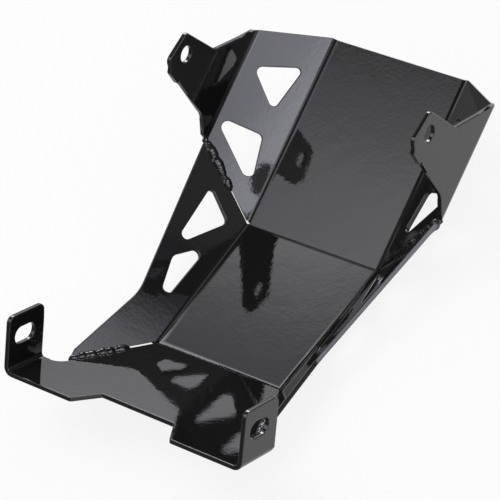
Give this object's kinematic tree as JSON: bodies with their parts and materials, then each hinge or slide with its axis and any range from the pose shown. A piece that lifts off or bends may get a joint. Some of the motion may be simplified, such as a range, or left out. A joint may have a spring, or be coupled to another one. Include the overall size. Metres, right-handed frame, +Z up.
{
  "type": "motorcycle skid plate",
  "caption": "Folded and welded sheet-metal skid plate with side walls, cut-outs, mounting ears with round holes, and rear tabs with slots.",
  "frame": {"origin": "middle of the underside of the flat middle panel, on the mirror plane", "axes": "+X across to the part's right, +Y forward along the motorcycle, +Z up out of the trough"},
  "size_m": [0.183, 0.3188, 0.1283],
  "materials": {
    "black_powder_coat": "gloss black powder coat with a slight orange peel"
  },
  "bodies": {
    "root": {"skid_plate": "black_powder_coat"}
  },
  "joints": []
}
